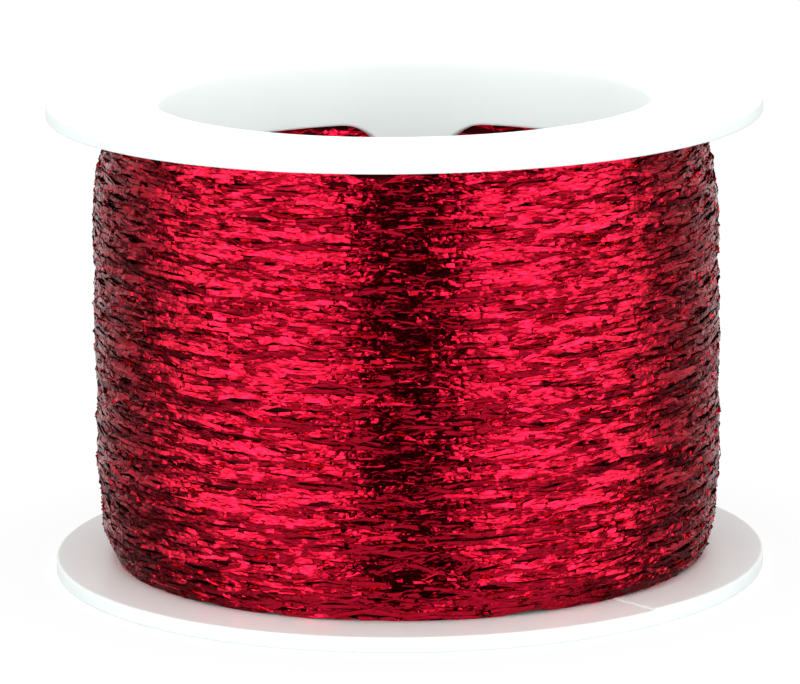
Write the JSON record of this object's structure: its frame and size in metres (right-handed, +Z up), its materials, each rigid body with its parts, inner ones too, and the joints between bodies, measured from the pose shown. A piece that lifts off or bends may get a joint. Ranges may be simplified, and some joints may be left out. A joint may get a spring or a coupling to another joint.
{
  "type": "spool of metallic thread",
  "caption": "Wide-bore plastic spool with thin flanges and a windowed barrel, wound full with flat metallic film thread.",
  "frame": {"origin": "centre of the lower flange's outer face, on the spool's axis, at the height of the surface that it stands on", "axes": "+Z up along the spool's axis; +Y away from the viewer of the picture, through one strut of the barrel; +X to the right"},
  "size_m": [0.0762, 0.0762, 0.0514],
  "materials": {
    "spool_plastic": "white moulded plastic, semi-gloss, slightly translucent at thin edges",
    "metallic_thread": "red metallised film strips wound side by side, glittering, with dark gaps"
  },
  "bodies": {
    "root": {"spool": "spool_plastic", "winding": "metallic_thread"}
  },
  "joints": []
}
